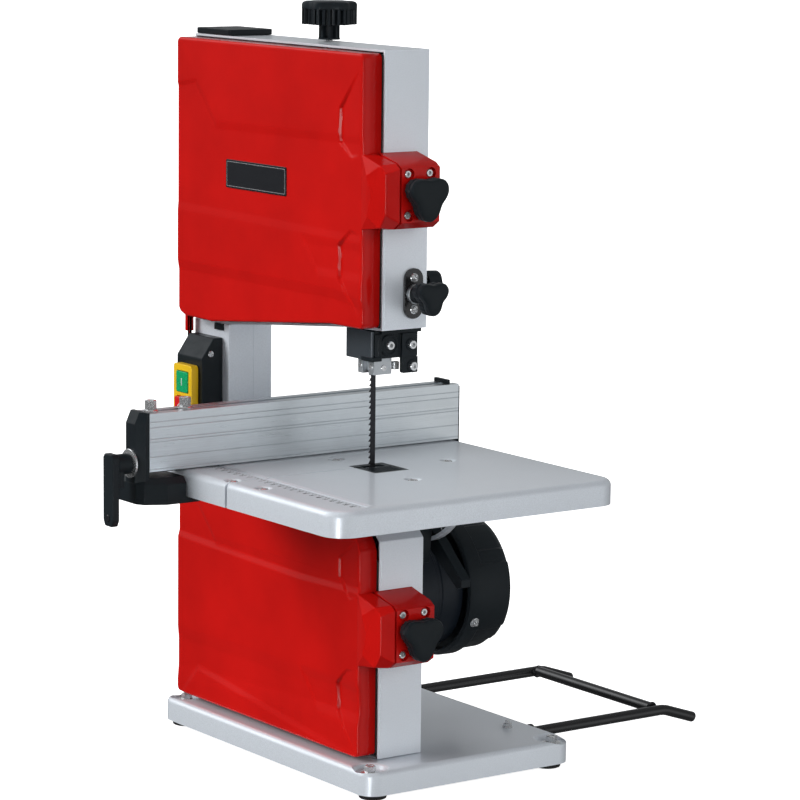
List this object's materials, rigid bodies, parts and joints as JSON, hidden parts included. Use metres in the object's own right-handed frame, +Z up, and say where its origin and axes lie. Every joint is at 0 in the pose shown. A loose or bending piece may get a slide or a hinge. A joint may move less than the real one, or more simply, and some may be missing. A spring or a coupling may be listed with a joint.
{
  "type": "band saw",
  "caption": "Bench-top band saw with red wheel doors, tilting table, rip fence, adjustable blade guide and a rear motor.",
  "frame": {"origin": "floor under the middle of the saw's footprint", "axes": "+X to the operator's right, +Y to the back, +Z up; the operator stands on the -Y side"},
  "size_m": [0.4312, 0.5922, 0.6925],
  "materials": {
    "silver_paint": "satin metallic silver",
    "red_plastic": "gloss red",
    "black_plastic": "fine grain black",
    "yellow_plastic": "yellow",
    "green_plastic": "green",
    "stop_red_plastic": "red",
    "rubber": "matt black",
    "black_steel": "satin black paint",
    "aluminium": "brushed and cast",
    "bright_steel": "zinc bright",
    "blade_steel": "dark spring steel",
    "cast_iron": "dark cast"
  },
  "bodies": {
    "frame": {"base_plate": "silver_paint", "foot_front_left": "rubber", "foot_front_right": "rubber", "foot_rear_left": "rubber", "foot_rear_right": "rubber", "rear_support_left": "black_steel", "rear_support_right": "black_steel", "rear_support_crossbar": "black_steel", "lower_housing": "silver_paint", "column": "silver_paint", "upper_housing": "silver_paint", "column_cap": "black_plastic", "upper_hinge_rod": "bright_steel", "lower_hinge_rod": "bright_steel", "upper_latch_keeper": "red_plastic", "lower_latch_keeper": "red_plastic", "saw_blade": "blade_steel", "motor_housing": "cast_iron", "fan_cover": "black_plastic", "switch_box": "black_plastic", "switch_plate": "yellow_plastic", "cable_gland": "black_plastic", "guide_knob_plate": "black_steel", "guide_post_sleeve": "cast_iron", "trunnion_bracket": "cast_iron", "lower_guide": "bright_steel"},
    "upper_door": {"upper_door": "red_plastic"},
    "lower_door": {"lower_door": "red_plastic"},
    "upper_latch_knob": {"upper_latch_knob": "black_plastic"},
    "lower_latch_knob": {"lower_latch_knob": "black_plastic"},
    "wheel_carriage": {"wheel_carriage": "cast_iron", "upper_axle": "bright_steel"},
    "tension_knob": {"tension_knob": "black_plastic", "tension_screw": "bright_steel"},
    "upper_wheel": {"upper_wheel": "aluminium", "upper_tyre": "rubber"},
    "lower_wheel": {"lower_wheel": "aluminium", "lower_tyre": "rubber", "motor_shaft": "bright_steel", "cooling_fan": "black_plastic"},
    "blade_guide": {"guide_post": "bright_steel", "guide_block": "black_plastic", "blade_guard": "black_plastic", "guide_jaw_left": "bright_steel", "guide_jaw_right": "bright_steel"},
    "thrust_bearing": {"thrust_bearing": "bright_steel"},
    "guide_height_knob": {"guide_height_knob": "black_plastic"},
    "guide_lock_knob": {"guide_lock_knob": "black_plastic"},
    "tracking_knob": {"tracking_knob": "black_plastic"},
    "table": {"table": "silver_paint", "table_insert": "black_plastic", "table_trunnion": "silver_paint"},
    "tilt_lock_lever": {"tilt_lock_lever": "black_plastic"},
    "fence": {"fence_profile": "aluminium", "fence_clamp": "black_plastic", "fence_rear_clip": "black_plastic"},
    "fence_lever": {"fence_lever": "black_plastic"},
    "start_button": {"start_button": "green_plastic"},
    "stop_button": {"stop_button": "stop_red_plastic"}
  },
  "joints": [
    {"name": "upper_door_hinge", "type": "hinge", "parent": "frame", "child": "upper_door", "pos_m": [-0.2116, -0.10512, 0.532], "axis": [0, 0, -1], "range_deg": [0, 100]},
    {"name": "lower_door_hinge", "type": "hinge", "parent": "frame", "child": "lower_door", "pos_m": [-0.2116, -0.10512, 0.145], "axis": [0, 0, -1], "range_deg": [0, 100]},
    {"name": "upper_latch_turn", "type": "hinge", "parent": "frame", "child": "upper_latch_knob", "pos_m": [0.1306, -0.08492, 0.532], "axis": [1, 0, 0], "range_deg": [0, 90]},
    {"name": "lower_latch_turn", "type": "hinge", "parent": "frame", "child": "lower_latch_knob", "pos_m": [0.1306, -0.08492, 0.145], "axis": [1, 0, 0], "range_deg": [0, 90]},
    {"name": "upper_wheel_tension", "type": "slide", "parent": "frame", "child": "wheel_carriage", "axis": [0, 0, 1], "range_m": [-0.008, 0]},
    {"name": "tension_knob_turn", "type": "hinge", "parent": "frame", "child": "tension_knob", "pos_m": [-0.0444, -0.06212, 0.6563], "axis": [0, 0, 1], "range_deg": [0, 2310]},
    {"name": "upper_wheel_spin", "type": "hinge", "parent": "wheel_carriage", "child": "upper_wheel", "pos_m": [-0.0539, -0.07462, 0.535], "axis": [0, 1, 0], "continuous": true},
    {"name": "lower_wheel_spin", "type": "hinge", "parent": "frame", "child": "lower_wheel", "pos_m": [-0.0539, -0.07462, 0.143], "axis": [0, 1, 0], "continuous": true},
    {"name": "guide_height", "type": "slide", "parent": "frame", "child": "blade_guide", "axis": [0, 0, 1], "range_m": [-0.075, 0]},
    {"name": "guide_height_knob_turn", "type": "hinge", "parent": "frame", "child": "guide_height_knob", "pos_m": [0.0958, -0.06762, 0.4435], "axis": [1, 0, 0], "range_deg": [-720, 0]},
    {"name": "guide_lock_turn", "type": "hinge", "parent": "frame", "child": "guide_lock_knob", "pos_m": [0.0796, -0.05212, 0.445], "axis": [0, 1, 0], "range_deg": [0, 180]},
    {"name": "tracking_turn", "type": "hinge", "parent": "frame", "child": "tracking_knob", "pos_m": [-0.0539, -0.05212, 0.509], "axis": [0, 1, 0], "range_deg": [-180, 180]},
    {"name": "thrust_bearing_spin", "type": "hinge", "parent": "blade_guide", "child": "thrust_bearing", "pos_m": [0.0461, -0.06322, 0.3745], "axis": [1, 0, 0], "continuous": true},
    {"name": "table_tilt", "type": "hinge", "parent": "frame", "child": "table", "pos_m": [0.0461, -0.07462, 0.283], "axis": [0, 1, 0], "range_deg": [0, 45]},
    {"name": "tilt_lock_turn", "type": "hinge", "parent": "frame", "child": "tilt_lock_lever", "pos_m": [0.0461, -0.05212, 0.2175], "axis": [0, 1, 0], "range_deg": [0, 60]},
    {"name": "fence_slide", "type": "slide", "parent": "table", "child": "fence", "axis": [-1, 0, 0], "range_m": [-0.049, 0.018]},
    {"name": "fence_lever_turn", "type": "hinge", "parent": "fence", "child": "fence_lever", "pos_m": [-0.0404, -0.27362, 0.291], "axis": [0, 1, 0], "range_deg": [0, 110]},
    {"name": "start_button_press", "type": "slide", "parent": "frame", "child": "start_button", "axis": [0, 1, 0], "range_m": [0, 0.0025], "stiffness_N_per_m": 300},
    {"name": "stop_button_press", "type": "slide", "parent": "frame", "child": "stop_button", "axis": [0, 1, 0], "range_m": [0, 0.003], "stiffness_N_per_m": 300}
  ],
  "couplings": [
    {"joint": "upper_wheel_spin", "follows": "lower_wheel_spin", "ratio": 1},
    {"joint": "tension_knob_turn", "follows": "upper_wheel_tension", "rad_per_m": -5026.5},
    {"joint": "guide_height_knob_turn", "follows": "guide_height", "rad_per_m": 166.67}
  ]
}
